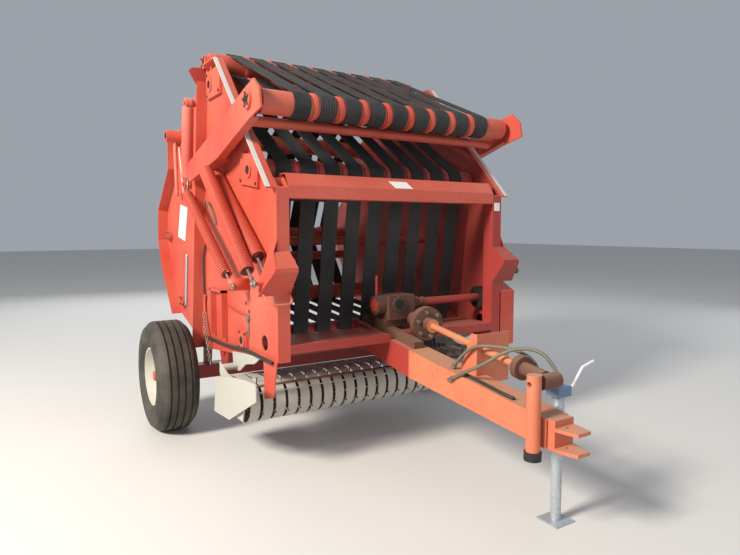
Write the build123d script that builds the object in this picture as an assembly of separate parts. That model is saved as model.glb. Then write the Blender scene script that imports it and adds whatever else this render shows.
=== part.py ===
from build123d import *
import math
import os

# Towed round baler with nine flat belts, seen as a machine parked on its wheels and its jack.
# X runs across the machine, Y runs from the hitch to the tailgate, Z is up, and all is in mm.
# Machine Y is counted from the front posts; at export it is moved to the middle of the length.

# Frame: the two side walls, the posts and the beams of the feed opening
WALL_IN = 829.0
SHEET = 6.0
WALL_OUT = WALL_IN + SHEET
POST_IN = 760.0
POST_DEPTH = 90.0
POST_WALL = 6.0
POST_BOTTOM = 694.0
WALL_KNEE_Z = 1660.0
WALL_TOP_FRONT_Y = 830.0
WALL_TOP_Z = 2530.0
WALL_REAR_TOP_Y = 1130.0
WALL_REAR_LOW_Y = 1400.0
WALL_REAR_LOW_Z = 555.0
WALL_FRONT_LOW_Z = 700.0
FRAME_FLANGE = 75.0
FLANGE_T = 8.0
OPENING_TOP = 1605.0
BEAM_FACE = 70.0
BEAM_SLOPE_Y = 50.0
BEAM_SLOPE_Z = 70.0
BEAM_DEPTH = 120.0
SILL_TOP = 787.0
SILL_H = 50.0
SILL_DEPTH = 330.0
BEAM_WALL = 5.0

EAR_R = 62.0
BEARING_T = 20.0
BOSS_R = 48.0
BOSS_T = 8.0
# Bearing plates on the wall: roller, reach to the front, reach to the rear, half height, lean in degrees
BEARINGS = [
    ("upper", 200.0, 75.0, 90.0, 0.0),
    ("throat_top", 140.0, 140.0, 92.0, 8.0),
    ("throat_low", 60.0, 60.0, 60.0, 0.0),
]
# The wall's foot in front of the pickup's pivot: y, z
LEG_OUTLINE = [(20.0, 705.0), (215.0, 690.0), (205.0, 445.0), (70.0, 486.0)]
# Hole for the cross shaft's bearing: y, z, radius
WALL_HOLE = (190.0, 780.0, 45.0)

# Tongue, hitch and jack
TONGUE_X = -10.0
TONGUE_W = 150.0
TONGUE_WALL = 8.0
TONGUE_FRONT_Y = -1230.0
TONGUE_ROOT_Y = 400.0
TONGUE_BAR_H = 40.0
TONGUE_BAR_W = 70.0
HITCH_PIN_Y = -1300.0
HITCH_TIP_Y = -1380.0
HITCH_W = 125.0
HITCH_PLATE = 16.0
HITCH_GAP = 76.0
HITCH_LOW_Z = 446.0
HITCH_PIN_R = 16.0
HITCH_NECK = 22.0
HITCH_WEB = 40.0
HITCH_SHOULDER = 60.0
JACK_X = 150.0
JACK_Y = -1100.0
JACK_R = 30.0
JACK_WALL = 4.0
JACK_TOP = 630.0
JACK_TUBE_BOTTOM = 300.0
JACK_LEG_R = 25.5
JACK_FOOT = 130.0
JACK_OVERLAP = 75.0
JACK_FOOT_T = 8.0
JACK_CAP = (92.0, 80.0, 48.0)
JACK_MOUNT = (490.0, 590.0)
CRANK_R = 7.0
CRANK_BENDS = [16.0, 20.0]
# Crank's centre line: x, z, from the cap's side to the end of the handle
CRANK = [(196.0, 657.0), (246.0, 657.0), (322.0, 748.0), (404.0, 769.0)]

# Tongue, seen from the side: y of a corner, z of its underside, z of its top
TONGUE = [(TONGUE_FRONT_Y, 450.0, 586.0), (-190.0, 556.0, 722.0), (TONGUE_ROOT_Y, 661.0, 818.0)]

# Rollers and belts
ROLLER_R = 68.0
AXLE_R = 20.0
AXLE_GAP = 0.3
ROLLER_GAP = 9.0
BELT_N = 9
BELT_W = 102.0
BELT_PITCH = 165.0
BELT_T = 8.0
BELT_GAP = 0.3
COLLAR_H = 9.0
COLLAR_W = 24.0
HINGE_Y = 1100.0
HINGE_Z = 2560.0
BELT_SEAM = 12.0
SEAM_Z = 700.0
BELT_ROOM = 2.7
TUBE_WALL = 5.0
# Drum in the chamber's floor, and the bar across the chamber: y, z, radius
FLOOR_DRUM = (950.0, 590.0, 85.0)
CHAMBER_BAR = (780.0, 1350.0, 30.0)

# Tension arms, springs and cylinders
ARM_IN = 938.0
ARM_T = 12.0
ARM_PIVOT_Y = 620.0
ARM_PIVOT_Z = 1965.0
ARM_PIVOT_R = 45.0
ARM_FLANGE = 40.0
HOOK_FLANGE = (640.0, 1000.0)
HOOK_FLANGE_W = 72.0
TORQUE_R = 30.0
TORQUE_Y = 200.0
TORQUE_Z = 2035.0
SPRING_R = 33.0
SPRING_WIRE = 11.0
ROD_R = 8.0
CYL_X = 915.0
CYL_R = 40.0
CYL_TOP_Y = 1337.0
CYL_TOP_Z = 2325.0
CYL_LOW_Y = 1413.0
CYL_LOW_Z = 1760.0
CYL_ROD_R = 16.0
EYE_R = 34.0
EYE_W = 44.0
PIN_R = 15.0
PIN_GAP = 0.3
LUG_T = 12.0
LUG_REAR_Y = 1445.0
ARM_FLANGE_END = 1190.0
# Tension arm, seen from the side: y, z
ARM = [(-75, 2060), (67, 2030), (621, 1868), (1225, 1762), (1296, 1812), (1250, 1894)]
ARM += [(808, 2010), (164, 2190), (20, 2225), (-55, 2160)]
# Spring pair: x, y where it hooks to the arm, then y and z of its foot
PAIR = [(-876.0, 897.0, 151.0, 1276.0), (-943.0, 800.0, 77.0, 1207.0)]
SPRING_DROP = 36.0
# The lone spring: x, then y and z of its top, its foot and its hook
SINGLE_X = -949.0
SINGLE_TOP = (1285.0, 1680.0)
SINGLE_FOOT = (487.0, 1158.0)
SINGLE_HOOK = (1264.0, 1780.0)
SINGLE_ROD = 95.0
SINGLE_R = 35.0
# Pin in the nose box that holds the feet of the spring pair: y, z
HOOK_PIN = (-14.0, 1144.0)
HOOK_PIN_R = 10.0
HOOK_PIN_OUT = 958.0
NOSE_T = 6.0
# Nose box of a post, seen from the side: y, z of its outside and of its open inside
NOSE = [(0, 1314), (-112, 1228), (-112, 1205), (0, 1072)]
NOSE_IN = [(20, 1322), (-106, 1225), (-106, 1207), (20, 1056)]
# Cheek of the nose box, with a web up to the wall's front edge: y, z
CHEEK = [(0, 1385), (50, 1345), (50, 1130), (0, 1072), (-112, 1205), (-112, 1228), (-10, 1310)]
# The cheek leans outwards: x, z of its outer face at two heights
CHEEK_LEAN = [(-829.4, 1400.0), (-978.0, 1000.0)]

# Tailgate
TAIL_GAP = 13.0
TAIL_FLANGE = 80.0
TAIL_TUBE_R = 38.0
TAIL_BOSS = 30.0
STRAP_GAP = 5.0
STRAP_T = 10.0
STRAP_X = WALL_IN - STRAP_GAP - STRAP_T
# Cross tubes of the tailgate: name, y, z
TAIL_TUBES = [("upper", 1930.0, 1720.0), ("lower", 2010.0, 1190.0)]

# Wheels and axle
HUB_Y = 1350.0
TYRE_R = 390.0
TYRE_W = 280.0
WHEEL_X = 1105.0
RIM_R = 205.0
AXLE_BEAM = 100.0
AXLE_WALL = 8.0
AXLE_REACH = 80.0
AXLE_CAP = 20.0
SPINDLE_R = 28.0
SPINDLE_OUT = 70.0
HUB_R = 62.0
RIM_T = 8.0

# Pickup
REEL_Y = 410.0
REEL_Z = 390.0
BAND_R = 130.0
BAND_T = 4.0
BAND_PITCH = 82.0
BAND_N = 22
BAND_SLOT = 20.0
BAND_REAR = 170.0
TINE_R = 160.0
TINE = 6.0
TINE_BAR_R = 84.0
TINE_BAR = 18.0
TINE_ROWS = 4
PICK_SIDE = 930.0
PICK_T = 6.0
SHIELD_X = 950.0
PICK_PIVOT_Y = 640.0
PICK_PIVOT_Z = 560.0
# Shield, bracket and side plate, seen from the side: y, z
SHIELD = [(35, 585), (180, 578), (465, 540), (725, 483), (765, 250), (480, 268), (35, 488)]
PICK_BRACKET = [(715, 640), (265, 690), (267, 668), (340, 628), (480, 600), (590, 537), (700, 525)]
PICK_PLATE = [(560, 300), (300, 300), (245, 470), (245, 520), (300, 520), (560, 540), (700, 590), (700, 520)]
# Bar across the pickup's front, over the bands: y, y, z, z
PICK_BAR = (255.0, 283.0, 505.0, 513.0)

# Hoses that hang free over the tongue: x, y, z of each corner, from the gland to the coupling
HOSE_R = 9.0
BEND_SHARE = 0.45
GLAND_R = 13.0
GLAND_LEN = 32.0
HOSE_1 = [(-45, -560, 700), (-34, -645, 815), (15, -800, 838), (62, -925, 828), (100, -1010, 780)]
HOSE_1 += [(100, -1036, 690)]
HOSE_2 = [(-96, -600, 640), (-96, -690, 690), (-60, -800, 750), (0, -900, 835), (45, -1020, 862)]
HOSE_2 += [(70, -1120, 820), (75, -1165, 735)]

# Drive chain's cover on the left wall: x of its open back and its face, then y, z of its outline.
# Its lower edge clears the pickup's shield at full lift, and a lip hangs down at its front.
COVER_X = (WALL_OUT + 8.0, 968.0)
COVER_T = 3.0
COVER = [(-6, 712), (-6, 1000), (60, 1035), (120, 1068), (330, 1068), (560, 860), (620, 700), (560, 625)]
COVER += [(350, 635), (200, 672)]
COVER_LIP_Z = 625.0

# Driveline
GEARBOX = (60.0, 175.0, 950.0)
GEARBOX_OUT = 150.0
# Gearbox case about its centre: x, x, y, y, z, z
CASE = (-95.0, 120.0, -75.0, 95.0, -95.0, 60.0)
CASE_ROUND = 12.0
CROSS_R = 26.0
CROSS_RING = (781.0, 821.0)
CROSS_RING_R = 78.0
SHAFT_X = 160.0
SHAFT_START_Y = 27.2
CLUTCH_Z = 842.0
CLUTCH_R = 105.0
YOKE_Y = -1195.0
YOKE_Z = 748.0
SHAFT_R = 19.0
BRACKET_Y = -680.0
TUBE_R = 33.0
HANG_X = -128.0
HANG_LOW = 398.0
HANG_PIN_R = 12.0
PTO_BORE_R = 17.5
PTO_DEPTH = 80.0
BRACKET_LEFT = -5.0
BRACKET_RIGHT = 229.0
BRACKET_LOW = 610.0
BRACKET_TOP = 880.0
BRACKET_RIB = [(BRACKET_Y, 640), (BRACKET_Y, BRACKET_TOP)]
BRACKET_RIB += [(BRACKET_Y + 40, BRACKET_TOP), (BRACKET_Y + 130, 640)]

ORIGIN_Y = (HITCH_TIP_Y + 2340.0) / 2


def block(x0, x1, y0, y1, z0, z1):
    return Pos((x0 + x1) / 2, (y0 + y1) / 2, (z0 + z1) / 2) * Box(x1 - x0, y1 - y0, z1 - z0)


def plate_yz(points, x0, x1):
    face = Plane.YZ.offset(x0) * make_face(Polyline(*points, close=True))
    return extrude(face, x1 - x0, dir=(1, 0, 0))


def plate_xy(points, z0, z1):
    face = Plane.XY.offset(z0) * make_face(Polyline(*points, close=True))
    return extrude(face, z1 - z0, dir=(0, 0, 1))


def plate_xz(points, y0, y1):
    face = make_face(Polyline(*[(x, y0, z) for x, z in points], close=True))
    return extrude(face, y1 - y0, dir=(0, 1, 0))


def bar(p, q, r):
    start = Vector(*p)
    run = Vector(*q) - start
    stand = (Align.CENTER, Align.CENTER, Align.MIN)
    return Plane(origin=start, z_dir=run) * Cylinder(r, run.length, align=stand)


def tube(p, q, r, wall):
    start = Vector(*p)
    run = (Vector(*q) - start).normalized()
    far = Vector(*q) + run
    return bar(p, q, r) - bar(tuple(start - run), tuple(far), r - wall)


def across(y, z, x0, x1, r):
    return bar((x0, y, z), (x1, y, z), r)


def strip_along(points, x0, x1, thick, side):
    """A flange along an outline, thick on its left (side 1) or its right (side -1), with mitred corners."""
    normals = []
    for (ay, az), (by, bz) in zip(points, points[1:]):
        run = math.hypot(by - ay, bz - az)
        normals.append((-(bz - az) / run * side, (by - ay) / run * side))
    inner = []
    for n, (y, z) in enumerate(points):
        ay, az = normals[max(n - 1, 0)]
        by, bz = normals[min(n, len(normals) - 1)]
        reach = thick / (1 + ay * by + az * bz)
        inner.append((y + (ay + by) * reach, z + (az + bz) * reach))
    return plate_yz(points + inner[::-1], x0, x1)


def mirrored(shape):
    return mirror(shape, about=Plane.YZ)


PARTS = {}


def keep(name, shape):
    PARTS[name] = shape


def keep_pair(name, right):
    """The machine's right side is towards minus X, as it faces the tractor."""
    keep(name + "_right", right)
    keep(name + "_left", mirrored(right))


# Rollers: name, y, z, drum radius, and which side of the belt's path the centre is on
ROLLERS = {
    "hinge": (HINGE_Y, HINGE_Z, ROLLER_R, 1),
    "tension": (90.0, 2125.0, ROLLER_R, 1),
    "upper": (1030.0, 2400.0, ROLLER_R, -1),
    "throat_top": (350.0, 1780.0, ROLLER_R, 1),
    "throat_low": (500.0, 750.0, ROLLER_R, 1),
    "tail_low": (1830.0, 860.0, ROLLER_R, 1),
    "tail_rear": (2200.0, 1380.0, ROLLER_R, 1),
    "tail_top": (1850.0, 2160.0, ROLLER_R, 1),
}
ROUTE_FRAME = ["hinge", "tension", "upper", "throat_top", "throat_low", "tail_low"]
ROUTE_TAIL = ["throat_low", "tail_low", "tail_rear", "tail_top", "hinge", "tension"]


def wrap_radius(name):
    y, z, r, side = ROLLERS[name]
    return side * (r + BELT_GAP + BELT_T / 2)


def tangent_run(a, b):
    """The straight run between two rollers: its heading, its length and its two end points."""
    ay, az = ROLLERS[a][:2]
    by, bz = ROLLERS[b][:2]
    ra, rb = wrap_radius(a), wrap_radius(b)
    apart = math.hypot(by - ay, bz - az)
    heading = math.atan2(bz - az, by - ay) - math.asin((rb - ra) / apart)
    ny, nz = -math.sin(heading), math.cos(heading)
    return heading, (ay - ra * ny, az - ra * nz), (by - rb * ny, bz - rb * nz)


def belt_edges(route, start_cut, end_cut, shift):
    """Edges of one face of the belt, shifted to the left of its path, from the first run to the last."""
    runs = [tangent_run(a, b) for a, b in zip(route, route[1:])]
    edges = []
    last = None
    for i, (heading, p, q) in enumerate(runs):
        ny, nz = -math.sin(heading) * shift, math.cos(heading) * shift
        dy, dz = math.cos(heading), math.sin(heading)
        if i == 0:
            p = start_cut(p, q, dy, dz)
        if i == len(runs) - 1:
            q = end_cut(p, q, dy, dz)
        p = (p[0] + ny, p[1] + nz)
        q = (q[0] + ny, q[1] + nz)
        if i > 0:
            name = route[i]
            y, z = ROLLERS[name][:2]
            side = ROLLERS[name][3]
            r = wrap_radius(name) - shift
            before = runs[i - 1][0]
            turn = (heading - before) * side % (2 * math.pi)
            mid = before + side * turn / 2
            middle = (y + math.sin(mid) * r, z - math.cos(mid) * r)
            edges.append(("arc", last, middle, p))
        edges.append(("line", p, q))
        last = q
    return edges


def belt_face(route, start_cut, end_cut):
    """The belt's section: its two faces, half a thickness each side of its path, and its two ends."""
    parts = []
    ends = []
    for shift in (BELT_T / 2, -BELT_T / 2):
        edges = belt_edges(route, start_cut, end_cut, shift)
        for edge in edges:
            pts = [(0, y, z) for y, z in edge[1:]]
            parts.append(Line(*pts) if edge[0] == "line" else ThreePointArc(*pts))
        ends.append((edges[0][1], edges[-1][2]))
    for i in (0, 1):
        parts.append(Line((0, *ends[0][i]), (0, *ends[1][i])))
    return make_face(Wire(parts))


def belt_set(route, start_cut, end_cut):
    face = belt_face(route, start_cut, end_cut)
    first = -(BELT_N - 1) / 2 * BELT_PITCH - BELT_W / 2
    belts = extrude(Pos(first, 0, 0) * face, BELT_W, dir=(1, 0, 0))
    for n in range(1, BELT_N):
        belts += extrude(Pos(first + n * BELT_PITCH, 0, 0) * face, BELT_W, dir=(1, 0, 0))
    return belts


def roller(name, half, stub, collars=True):
    """A drum with a collar between neighbouring belts and an axle stub at each end."""
    y, z, r, side = ROLLERS[name]
    body = across(y, z, -half, half, r) + across(y, z, -half - stub, half + stub, AXLE_R)
    if collars:
        for n in range(BELT_N - 1):
            x = (n - (BELT_N - 2) / 2) * BELT_PITCH
            body += across(y, z, x - COLLAR_W / 2, x + COLLAR_W / 2, r + COLLAR_H)
    return body


def wall_front_y(z):
    """The wall's front edge: upright below the knee, then leaning back to the top corner."""
    if z <= WALL_KNEE_Z:
        return 0.0
    return (z - WALL_KNEE_Z) * WALL_TOP_FRONT_Y / (WALL_TOP_Z - WALL_KNEE_Z)


def wall_rear_y(z):
    share = (WALL_TOP_Z - z) / (WALL_TOP_Z - WALL_REAR_LOW_Z)
    return WALL_REAR_TOP_Y + share * (WALL_REAR_LOW_Y - WALL_REAR_TOP_Y)


def axle_hole(name):
    y, z = ROLLERS[name][:2]
    return across(y, z, -2 * WALL_OUT, 0, AXLE_R + AXLE_GAP)


def side_wall():
    outline = [
        (0, WALL_FRONT_LOW_Z),
        (0, WALL_KNEE_Z),
        (WALL_TOP_FRONT_Y, WALL_TOP_Z),
        (wall_rear_y(WALL_TOP_Z), WALL_TOP_Z),
        (WALL_REAR_LOW_Y, WALL_REAR_LOW_Z),
    ]
    wall = plate_yz(outline, -WALL_OUT, -WALL_IN)
    wall += plate_yz(LEG_OUTLINE, -WALL_OUT, -WALL_IN)
    ear = across(HINGE_Y, HINGE_Z, -WALL_OUT, -WALL_IN, EAR_R)
    ear += block(-WALL_OUT, -WALL_IN, HINGE_Y - EAR_R, HINGE_Y + 30, WALL_TOP_Z - 60, HINGE_Z)
    wall += ear
    slant = [(wall_front_y(WALL_KNEE_Z), WALL_KNEE_Z), (WALL_TOP_FRONT_Y, WALL_TOP_Z)]
    wall += strip_along(slant, -WALL_OUT - 60, -WALL_OUT, FLANGE_T, -1)
    top = [(WALL_TOP_FRONT_Y, WALL_TOP_Z), (HINGE_Y - EAR_R, WALL_TOP_Z)]
    wall += strip_along(top, -WALL_OUT - 60, -WALL_OUT, FLANGE_T, -1)
    rear = [(wall_rear_y(2440), 2440), (WALL_REAR_LOW_Y, WALL_REAR_LOW_Z)]
    wall += strip_along(rear, -WALL_OUT - FRAME_FLANGE, -WALL_OUT, FLANGE_T, -1)
    for name, front, rear, half_z, lean in BEARINGS:
        y, z = ROLLERS[name][:2]
        pad = block(-WALL_OUT - BEARING_T, -WALL_OUT, -front, rear, -half_z, half_z)
        wall += Pos(0, y, z) * Rot(lean, 0, 0) * pad
        wall += across(y, z, -WALL_OUT - BEARING_T - BOSS_T, -WALL_OUT - BEARING_T, BOSS_R)
    for name in ("hinge", "upper", "throat_top", "throat_low"):
        wall -= axle_hole(name)
    y, z, r = WALL_HOLE
    wall -= across(y, z, -WALL_OUT - 1, -WALL_IN + 1, r)
    return wall


def post():
    box = block(-WALL_IN, -POST_IN, 0, POST_DEPTH, POST_BOTTOM, WALL_KNEE_Z + 60)
    t = POST_WALL
    box -= block(-WALL_IN + t, -POST_IN - t, t, POST_DEPTH - t, 0, WALL_KNEE_Z + 61)
    knee = [(-1, WALL_KNEE_Z), (-1, WALL_KNEE_Z + 70), (70, WALL_KNEE_Z + 70)]
    return box - plate_yz(knee, -WALL_OUT, -POST_IN + 1)


def nose_room(inset):
    """The space inside the leaning outer face, moved in by the inset."""
    (ax, az), (bx, bz) = CHEEK_LEAN
    return plate_xz([(ax + inset, az), (bx + inset, bz), (-POST_IN, bz), (-POST_IN, az)], -200, 100)


def nose():
    """The box on the post's front that holds the pin of the spring pair."""
    far = CHEEK_LEAN[1][0]
    outer = plate_yz(NOSE, far, -POST_IN) & nose_room(0)
    inner = plate_yz(NOSE_IN, far, -POST_IN - NOSE_T) & nose_room(NOSE_T)
    cheek = (plate_yz(CHEEK, far, -POST_IN) & nose_room(0)) - nose_room(NOSE_T)
    box = (outer - inner) + cheek + across(*HOOK_PIN, -HOOK_PIN_OUT, -POST_IN - 1, HOOK_PIN_R)
    return box - block(-WALL_OUT, -POST_IN + 1, 0, 100, 1000, 1400)


def top_beam():
    outline = [
        (0, OPENING_TOP),
        (0, OPENING_TOP + BEAM_FACE),
        (BEAM_SLOPE_Y, OPENING_TOP + BEAM_FACE + BEAM_SLOPE_Z),
        (BEAM_DEPTH, OPENING_TOP + BEAM_FACE + BEAM_SLOPE_Z),
        (BEAM_DEPTH, OPENING_TOP),
    ]
    t = BEAM_WALL
    hollow = [
        (t, OPENING_TOP + t),
        (t, OPENING_TOP + BEAM_FACE - t / 2),
        (BEAM_SLOPE_Y + t / 2, OPENING_TOP + BEAM_FACE + BEAM_SLOPE_Z - t),
        (BEAM_DEPTH - t, OPENING_TOP + BEAM_FACE + BEAM_SLOPE_Z - t),
        (BEAM_DEPTH - t, OPENING_TOP + t),
    ]
    return plate_yz(outline, -POST_IN, POST_IN) - plate_yz(hollow, -POST_IN - 1, POST_IN + 1)


def sill(x0, x1):
    t = BEAM_WALL
    outer = block(x0, x1, 0, SILL_DEPTH, SILL_TOP - SILL_H, SILL_TOP)
    return outer - block(x0 - 1, x1 + 1, t, SILL_DEPTH - t, SILL_TOP - SILL_H + t, SILL_TOP - t)


def tongue_outline(inset):
    low = [(y, low + inset) for y, low, high in TONGUE]
    top = [(y, high - inset) for y, low, high in TONGUE]
    return low + top[::-1]


def bar_top(y):
    """Height of the flat bar on the tongue's rear part."""
    (ay, _, az), (by, _, bz) = TONGUE[1:]
    return az + (y - ay) * (bz - az) / (by - ay) + TONGUE_BAR_H


def tongue_block(inset=0.0):
    x0, x1 = TONGUE_X - TONGUE_W / 2 + inset, TONGUE_X + TONGUE_W / 2 - inset
    return plate_yz(tongue_outline(inset), x0, x1)


def tongue():
    box = tongue_block() - tongue_block(TONGUE_WALL)
    (ay, _, az), (by, _, bz) = TONGUE[1:]
    flat = [(ay, az), (by, bz), (by, bz + TONGUE_BAR_H), (ay, az + TONGUE_BAR_H)]
    return box + plate_yz(flat, TONGUE_X - TONGUE_BAR_W / 2, TONGUE_X + TONGUE_BAR_W / 2)


def hitch():
    half = HITCH_W / 2
    neck = half - HITCH_NECK
    outline = [
        (TONGUE_X - half, TONGUE_FRONT_Y),
        (TONGUE_X - half, TONGUE_FRONT_Y - HITCH_SHOULDER),
        (TONGUE_X - neck, HITCH_TIP_Y),
        (TONGUE_X + neck, HITCH_TIP_Y),
        (TONGUE_X + half, TONGUE_FRONT_Y - HITCH_SHOULDER),
        (TONGUE_X + half, TONGUE_FRONT_Y),
    ]
    low_top = HITCH_LOW_Z + HITCH_PLATE
    high = low_top + HITCH_GAP
    ears = plate_xy(outline, HITCH_LOW_Z, low_top) + plate_xy(outline, high, high + HITCH_PLATE)
    x0, x1 = TONGUE_X - half, TONGUE_X + half
    web = block(x0, x1, TONGUE_FRONT_Y - HITCH_WEB, TONGUE_FRONT_Y, HITCH_LOW_Z, TONGUE[0][2])
    low = (TONGUE_X, HITCH_PIN_Y, HITCH_LOW_Z - 1)
    top = (TONGUE_X, HITCH_PIN_Y, high + HITCH_PLATE + 1)
    return ears + web - bar(low, top, HITCH_PIN_R)


def jack_tube():
    body = tube((JACK_X, JACK_Y, JACK_TUBE_BOTTOM), (JACK_X, JACK_Y, JACK_TOP), JACK_R, JACK_WALL)
    wide, deep, high = JACK_CAP
    cap = Pos(JACK_X, JACK_Y, JACK_TOP + high / 2) * Box(wide, deep, high)
    low, top = JACK_MOUNT
    mount = block(TONGUE_X + TONGUE_W / 2, JACK_X - JACK_R + 2, JACK_Y - 35, JACK_Y + 35, low, top)
    mount -= bar((JACK_X, JACK_Y, low - 1), (JACK_X, JACK_Y, top + 1), JACK_R - 1)
    return body + cap + mount


def jack_crank():
    path = FilletPolyline(*[(x, JACK_Y, z) for x, z in CRANK], radius=CRANK_BENDS)
    start = Plane(origin=(CRANK[0][0], JACK_Y, CRANK[0][1]), z_dir=(1, 0, 0))
    return sweep(start * Circle(CRANK_R), path=path)


def jack_leg():
    top = JACK_TUBE_BOTTOM + JACK_OVERLAP
    leg = tube((JACK_X, JACK_Y, JACK_FOOT_T), (JACK_X, JACK_Y, top), JACK_LEG_R, JACK_WALL)
    foot = Pos(JACK_X, JACK_Y, JACK_FOOT_T / 2) * Box(JACK_FOOT, JACK_FOOT, JACK_FOOT_T)
    return leg + foot


def arm_edge(y):
    """Height of the arm's lower edge behind its knee."""
    (ay, az), (by, bz) = ARM[2:4]
    return az + (y - ay) * (bz - az) / (by - ay)


def tension_arm():
    arm = plate_yz(ARM, -ARM_IN - ARM_T, -ARM_IN)
    edge = [ARM[1], ARM[2], (ARM_FLANGE_END, arm_edge(ARM_FLANGE_END))]
    arm += strip_along(edge, -ARM_IN, -ARM_IN + ARM_FLANGE, FLANGE_T, 1)
    hooks = [(y, arm_edge(y)) for y in HOOK_FLANGE]
    arm += strip_along(hooks, -ARM_IN + ARM_FLANGE, -ARM_IN + HOOK_FLANGE_W, FLANGE_T, 1)
    y, z = ROLLERS["tension"][:2]
    arm += across(y, z, -ARM_IN - ARM_T - 14, -ARM_IN - ARM_T, 50)
    arm += across(ARM_PIVOT_Y, ARM_PIVOT_Z, -ARM_IN, -WALL_OUT, ARM_PIVOT_R)
    return arm - across(y, z, -ARM_IN - 40, -ARM_IN + 60, AXLE_R + AXLE_GAP)


def coil_body(p, q, r):
    """An extension spring as its real outer tube, closed at the top by the plug that takes the hook."""
    start, end = Vector(*p), Vector(*q)
    run = (end - start).normalized()
    body = tube(p, q, r, SPRING_WIRE)
    plug = bar(p, tuple(start + run * 25), r - 2)
    return body + plug


def spring_pair():
    """Two springs from the arm's flange down to the pin in the nose box, each on its own rod."""
    high = ARM[2][1] + 60
    above = plate_yz([ARM[2], ARM[3], (ARM[3][0], high), (ARM[2][0], high)], -980, -WALL_OUT)
    whole = None
    for x, top_y, foot_y, foot_z in PAIR:
        hook = Vector(x, top_y, arm_edge(top_y))
        foot = Vector(x, foot_y, foot_z)
        run = (foot - hook).normalized()
        top = hook + run * SPRING_DROP
        to_pin = (Vector(x, *HOOK_PIN) - top).normalized()
        pin = Vector(x, *HOOK_PIN) - to_pin * (HOOK_PIN_R + 0.2)
        one = coil_body(tuple(top), tuple(foot), SPRING_R) + bar(tuple(top + run * 12), tuple(pin), ROD_R)
        one += bar(tuple(top + run * 8), tuple(hook - run * 12), ROD_R) - above
        whole = one if whole is None else whole + one
    return whole


def spring_single():
    """The lone spring: hooked to the arm's rear end, with a threaded rod to a bracket on the wall."""
    foot = Vector(SINGLE_X, *SINGLE_FOOT)
    run = (foot - Vector(SINGLE_X, *SINGLE_TOP)).normalized()
    body = coil_body((SINGLE_X, *SINGLE_TOP), (SINGLE_X, *SINGLE_FOOT), SINGLE_R)
    body += bar((SINGLE_X, *SINGLE_TOP), (SINGLE_X, *SINGLE_HOOK), ROD_R)
    end = foot + run * SINGLE_ROD
    body += bar((SINGLE_X, *SINGLE_TOP), tuple(end + run * 20), ROD_R)
    bracket = block(SINGLE_X - 22, -WALL_OUT, end.Y - 7, end.Y + 7, end.Z - 36, end.Z + 36)
    return body + bracket


def tail_outline():
    front_top = 2380.0
    return [
        (wall_rear_y(front_top) + TAIL_GAP + FLANGE_T, front_top),
        (wall_rear_y(WALL_REAR_LOW_Z) + TAIL_GAP + FLANGE_T, WALL_REAR_LOW_Z + 40),
        (1940, 745),
        (2262, 1150),
        (2340, 1340),
        (2310, 1600),
        (1945, 1915),
        (1945, 2130),
        (1850, 2230),
        (1270, 2470),
    ]


def tail_side():
    outline = tail_outline()
    side = plate_yz(outline, -WALL_OUT, -WALL_IN)
    side += strip_along(outline[:2], -WALL_OUT - 30, -WALL_OUT, FLANGE_T, 1)
    side += strip_along(outline[2:8], -WALL_OUT - TAIL_FLANGE, -WALL_OUT, FLANGE_T, 1)
    face = -STRAP_X - STRAP_T
    strap = plate_yz([(1075, 2515), (1165, 2590), (1420, 2330), (1330, 2240)], face, -STRAP_X)
    strap += across(HINGE_Y, HINGE_Z, face, -STRAP_X, 50)
    strap += plate_yz([(1200, 2370), (1280, 2440), (1400, 2320), (1320, 2250)], -WALL_IN, face)
    side += strap
    side -= across(HINGE_Y, HINGE_Z, -WALL_OUT - 1, 0, AXLE_R + 0.08)
    side += across(CYL_TOP_Y, CYL_TOP_Z, -CYL_X + EYE_W / 2 + 1, -WALL_OUT, 24)
    side += across(CYL_TOP_Y, CYL_TOP_Z, -CYL_X - EYE_W / 2 - 12, -WALL_OUT, PIN_R)
    for name in ("tail_low", "tail_rear", "tail_top"):
        y, z = ROLLERS[name][:2]
        side += across(y, z, -WALL_OUT - TAIL_BOSS, -WALL_OUT, BOSS_R)
        side -= across(y, z, -WALL_OUT - TAIL_BOSS - 1, 0, AXLE_R + AXLE_GAP)
    return side


def cylinder_axis():
    run = Vector(0, CYL_LOW_Y - CYL_TOP_Y, CYL_LOW_Z - CYL_TOP_Z)
    return run.length, run.normalized()


def cylinder_barrel():
    length, run = cylinder_axis()
    top = Vector(-CYL_X, CYL_TOP_Y, CYL_TOP_Z)
    a, b = top + run * (EYE_R - 6), top + run * (length - EYE_R - 14)
    barrel = bar(tuple(a), tuple(b), CYL_R) - bar(tuple(a + run * 40), tuple(b + run), CYL_ROD_R + 0.5)
    barrel += across(CYL_TOP_Y, CYL_TOP_Z, -CYL_X - EYE_W / 2, -CYL_X + EYE_W / 2, EYE_R)
    return barrel - across(CYL_TOP_Y, CYL_TOP_Z, -CYL_X - EYE_W, -CYL_X + EYE_W, PIN_R + PIN_GAP)


def cylinder_rod():
    length, run = cylinder_axis()
    low = Vector(-CYL_X, CYL_LOW_Y, CYL_LOW_Z)
    rod = bar(tuple(low - run * (length - EYE_R - 60)), tuple(low - run * (EYE_R - 8)), CYL_ROD_R)
    rod += across(CYL_LOW_Y, CYL_LOW_Z, -CYL_X - EYE_W / 2, -CYL_X + EYE_W / 2, EYE_R)
    return rod + across(CYL_LOW_Y, CYL_LOW_Z, -CYL_X - EYE_W / 2 - 12, -CYL_X + EYE_W / 2 + 4, PIN_R)


def cylinder_lug():
    """The lug behind the frame's rear flange, beside the rod's eye. The pin is the rod's."""
    x1 = -CYL_X + EYE_W / 2 + 5
    low, high = 1690, CYL_LOW_Z + 26
    outline = [(wall_rear_y(low), low), (wall_rear_y(high), high), (LUG_REAR_Y, high), (LUG_REAR_Y, 1722)]
    return plate_yz(outline, x1, x1 + LUG_T)


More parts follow.
